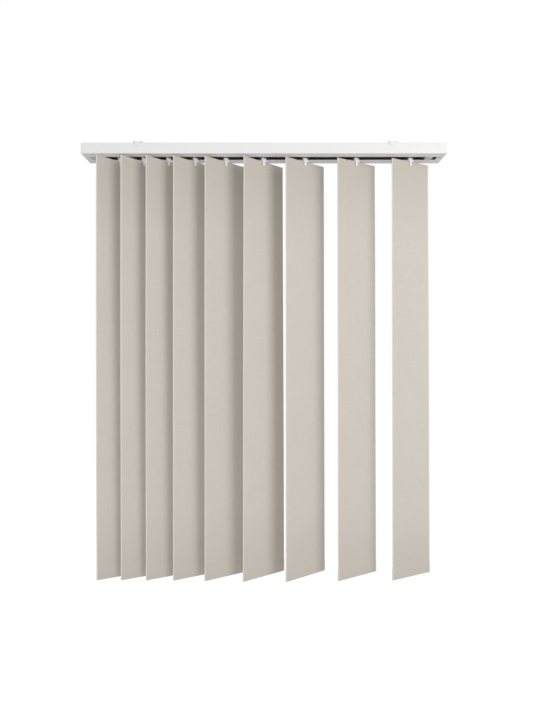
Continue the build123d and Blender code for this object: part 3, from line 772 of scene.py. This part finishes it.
def stitch_tree():
    """Geometry nodes that sew a row of stitches along every edge of the mesh they are given."""
    tree = bpy.data.node_groups.new("stitch_rows", "GeometryNodeTree")
    face = tree.interface
    face.new_socket("Seam lines", in_out="INPUT", socket_type="NodeSocketGeometry")
    for name in ("Pitch", "Stitch length", "Thread thickness"):
        face.new_socket(name, in_out="INPUT", socket_type="NodeSocketFloat")
    face.new_socket("Thread", in_out="INPUT", socket_type="NodeSocketMaterial")
    face.new_socket("Stitches", in_out="OUTPUT", socket_type="NodeSocketGeometry")
    nodes, links = tree.nodes, tree.links
    given = nodes.new("NodeGroupInput")
    curve = nodes.new("GeometryNodeMeshToCurve")
    links.new(given.outputs["Seam lines"], curve.inputs[0])
    spaced = nodes.new("GeometryNodeResampleCurve")
    spaced.mode = "LENGTH"
    links.new(curve.outputs[0], spaced.inputs["Curve"])
    links.new(given.outputs["Pitch"], spaced.inputs["Length"])
    bead = nodes.new("GeometryNodeMeshUVSphere")
    bead.inputs["Segments"].default_value = 6
    bead.inputs["Rings"].default_value = 4
    bead.inputs["Radius"].default_value = 0.5
    sized = nodes.new("ShaderNodeCombineXYZ")
    links.new(given.outputs["Thread thickness"], sized.inputs["X"])
    links.new(given.outputs["Thread thickness"], sized.inputs["Y"])
    links.new(given.outputs["Stitch length"], sized.inputs["Z"])
    tangent = nodes.new("GeometryNodeInputTangent")
    turned = nodes.new("FunctionNodeAlignRotationToVector")
    turned.axis = "Z"
    links.new(tangent.outputs[0], turned.inputs["Vector"])
    sewn = nodes.new("GeometryNodeInstanceOnPoints")
    links.new(spaced.outputs[0], sewn.inputs["Points"])
    links.new(bead.outputs["Mesh"], sewn.inputs["Instance"])
    links.new(turned.outputs[0], sewn.inputs["Rotation"])
    links.new(sized.outputs[0], sewn.inputs["Scale"])
    real = nodes.new("GeometryNodeRealizeInstances")
    links.new(sewn.outputs[0], real.inputs[0])
    painted = nodes.new("GeometryNodeSetMaterial")
    links.new(real.outputs[0], painted.inputs["Geometry"])
    links.new(given.outputs["Thread"], painted.inputs["Material"])
    done = nodes.new("NodeGroupOutput")
    links.new(painted.outputs[0], done.inputs[0])
    return tree


def sew_vane(number, sizes, thread, tree, material, low, high):
    """The two rows of stitches that close a vane's pockets, on the front and on the back."""
    half = sizes.width / 2 - 0.002
    layer = sizes.thickness
    lines = bmesh.new()
    for height in (high - sizes.top_hem - thread.margin * 0.75, low + sizes.foot_hem + thread.margin * 0.75):
        middle, along, out = vane_axes(number, height, low, high)
        for offset in (layer * 0.5, -layer * 1.5):
            ends = [
                lines.verts.new(Vector((middle.x, middle.y, height)) + along * u + out * offset)
                for u in (-half, half)
            ]
            lines.edges.new(ends)
    mesh = bpy.data.meshes.new(f"seam_{number}")
    lines.to_mesh(mesh)
    lines.free()
    piece = place_mesh(f"seam_stitches_{number}", mesh)
    sewing = piece.modifiers.new("stitches", "NODES")
    sewing.node_group = tree
    values = {
        "Pitch": thread.pitch,
        "Stitch length": thread.length,
        "Thread thickness": thread.thread,
        "Thread": material,
    }
    for item in tree.interface.items_tree:
        if item.item_type == "SOCKET" and item.name in values:
            sewing[item.identifier] = values[item.name]
    bpy.context.view_layer.update()
    return bake_modifiers(piece)


class BLIND_OT_hang_vanes(bpy.types.Operator):
    """Hangs the nine cloth vanes on their hooks and sews their pockets"""

    bl_idname = "blind.hang_vanes"
    bl_label = "Hang vanes"

    def execute(self, context):
        scene = context.scene
        sizes, stitches, paint = scene.blind_cloth, scene.blind_stitches, scene.blind_finishes
        tree = stitch_tree()
        thread = sewing_thread("sewing_thread", paint.cloth)
        for number in range(1, len(VANE_HANG) + 1):
            cloth = vane_cloth(
                f"vane_cloth_{number}",
                paint.cloth,
                paint.selvedge,
                sizes.width,
                sizes.end_shade_length,
                float(number),
            )
            piece, cut_length, low, high = weave_vane(number, sizes, cloth)
            seams = sew_vane(number, sizes, stitches, tree, thread, low, high)
            for made in (piece, seams):
                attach(made, f"hung_vane_{number}")
            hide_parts(f"vane_{number}")
        return {"FINISHED"}


# ---------------------------------------------------------------- rail and fittings


class BLIND_OT_finish_rail(bpy.types.Operator):
    """Coats the rail, its caps, clips and housings"""

    bl_idname = "blind.finish_rail"
    bl_label = "Finish rail"

    def execute(self, context):
        paint = context.scene.blind_finishes
        finish_nodes(["head_rail"], powder_coat("rail_powder_coat", paint.rail, paint.rail_inside_shade))
        finish_nodes(["end_cap_left", "end_cap_right"], moulded("cap_plastic", paint.fitting, 0.3, 0.3))
        finish_nodes(
            ["return_housing", "control_housing"], moulded("housing_plastic", paint.housing, 0.42, 0.7, 1.3)
        )
        finish_nodes(["ceiling_clip_left", "ceiling_clip_right"], coated_spring("clip_coat", paint.rail))
        return {"FINISHED"}


class BLIND_OT_finish_drive(bpy.types.Operator):
    """Finishes the travellers, hooks, worms, gears, wheels and strips"""

    bl_idname = "blind.finish_drive"
    bl_label = "Finish drive"

    def execute(self, context):
        paint = context.scene.blind_finishes
        count = range(1, len(VANE_HANG) + 1)
        for kind, finish in (
            ("carrier", moulded("traveller_plastic", paint.traveller, 0.4, 0.8, 2.1)),
            ("vane_hook", moulded("hook_plastic", paint.fitting, 0.28, 0.35, 3.4)),
            ("worm", moulded("worm_plastic", paint.fitting, 0.36, 0.5, 4.2)),
        ):
            finish_nodes([f"{kind}_{i}" for i in count], finish)
        finish_nodes(
            [
                "drive_gear",
                "rod_pinion",
                "chain_wheel",
                "return_pulley",
                "cord_pulley_front",
                "cord_pulley_back",
            ],
            moulded("wheel_plastic", paint.fitting, 0.34, 0.5, 5.6),
        )
        finish_nodes(["cord_clamp"], moulded("clamp_plastic", paint.fitting, 0.4, 0.5, 6.6))
        finish_nodes(["tilt_rod"], drawn_metal("drawn_aluminium", (0.76, 0.76, 0.77), 1400.0, 0.24))
        finish_nodes(
            [f"spacer_strip_{i}" for i in count if i < len(VANE_HANG)] + ["cord_pulley_pin"],
            drawn_metal("rolled_steel", (0.56, 0.56, 0.57), 2200.0, 0.2),
        )
        return {"FINISHED"}


# ---------------------------------------------------------------- stage


def aim(thing, spot, target):
    thing.location = spot
    thing.rotation_euler = (Vector(target) - Vector(spot)).to_track_quat("-Z", "Y").to_euler()


def soft_light(name, power, size, spot, target):
    lamp = bpy.data.lights.new(name, "AREA")
    lamp.shape = "RECTANGLE"
    lamp.size, lamp.size_y = size
    lamp.energy = power
    thing = bpy.data.objects.new(name, lamp)
    bpy.context.scene.collection.objects.link(thing)
    aim(thing, spot, target)
    return thing


class BLIND_OT_set_stage(bpy.types.Operator):
    """Sets the floor, the soft lights and the camera"""

    bl_idname = "blind.set_stage"
    bl_label = "Set stage"

    def execute(self, context):
        scene = context.scene
        sizes = scene.blind_stage
        ground = bmesh.new()
        bmesh.ops.create_grid(ground, x_segments=1, y_segments=1, size=FLOOR_HALF)
        bmesh.ops.translate(ground, verts=ground.verts, vec=(0.0, 0.0, sizes.floor))
        mesh = bpy.data.meshes.new("stage_floor")
        ground.to_mesh(mesh)
        ground.free()
        place_mesh("stage_floor", mesh, stage_floor("stage_floor"))

        soft_light("key_light", sizes.key, *KEY_LAMP)
        soft_light("fill_light", sizes.fill, *FILL_LAMP)

        world = bpy.data.worlds.new("pale_room")
        world.use_nodes = True
        nodes, links = world.node_tree.nodes, world.node_tree.links
        nodes.clear()
        rays = nodes.new("ShaderNodeLightPath")
        seen = nodes.new("ShaderNodeMath")
        seen.operation = "MAXIMUM"
        links.new(rays.outputs["Is Camera Ray"], seen.inputs[0])
        links.new(rays.outputs["Is Glossy Ray"], seen.inputs[1])
        seen_all = nodes.new("ShaderNodeMath")
        seen_all.operation = "MAXIMUM"
        links.new(seen.outputs[0], seen_all.inputs[0])
        links.new(rays.outputs["Is Transmission Ray"], seen_all.inputs[1])
        level = nodes.new("ShaderNodeMapRange")
        level.inputs["To Min"].default_value = sizes.sky
        level.inputs["To Max"].default_value = 1.0
        links.new(seen_all.outputs[0], level.inputs["Value"])
        light = nodes.new("ShaderNodeBackground")
        light.inputs["Color"].default_value = (1.0, 1.0, 1.0, 1.0)
        links.new(level.outputs[0], light.inputs["Strength"])
        done = nodes.new("ShaderNodeOutputWorld")
        links.new(light.outputs[0], done.inputs["Surface"])
        scene.world = world

        lens = bpy.data.cameras.new("photo_camera")
        lens.lens = sizes.lens
        lens.sensor_width = 36.0
        lens.shift_y = sizes.rise
        lens.clip_start = 0.05
        camera = bpy.data.objects.new("photo_camera", lens)
        scene.collection.objects.link(camera)
        camera.location = (sizes.offset, -sizes.distance, sizes.height)
        camera.rotation_euler = (math.pi / 2, 0.0, 0.0)
        scene.camera = camera
        scene.view_settings.view_transform = "Standard"
        return {"FINISHED"}


class BLIND_PT_sidebar(bpy.types.Panel):
    """Lists the steps that dress the blind"""

    bl_label = "Vertical blind"
    bl_idname = "BLIND_PT_sidebar"
    bl_space_type = "VIEW_3D"
    bl_region_type = "UI"
    bl_category = "Blind"

    def draw(self, context):
        layout = self.layout
        for step in (BLIND_OT_hang_vanes, BLIND_OT_finish_rail, BLIND_OT_finish_drive, BLIND_OT_set_stage):
            layout.operator(step.bl_idname)


GROUPS = {
    "blind_cloth": ClothSizes,
    "blind_stitches": StitchSizes,
    "blind_finishes": Finishes,
    "blind_stage": StageSizes,
}
CLASSES = tuple(GROUPS.values()) + (
    BLIND_OT_hang_vanes,
    BLIND_OT_finish_rail,
    BLIND_OT_finish_drive,
    BLIND_OT_set_stage,
    BLIND_PT_sidebar,
)


def register():
    for kind in CLASSES:
        bpy.utils.register_class(kind)
    for name, group in GROUPS.items():
        setattr(bpy.types.Scene, name, PointerProperty(type=group))


def unregister():
    for name in GROUPS:
        delattr(bpy.types.Scene, name)
    for kind in reversed(CLASSES):
        bpy.utils.unregister_class(kind)


def main():
    register()
    bpy.ops.blind.hang_vanes()
    bpy.ops.blind.finish_rail()
    bpy.ops.blind.finish_drive()
    bpy.ops.blind.set_stage()


if __name__ == "__main__":
    main()
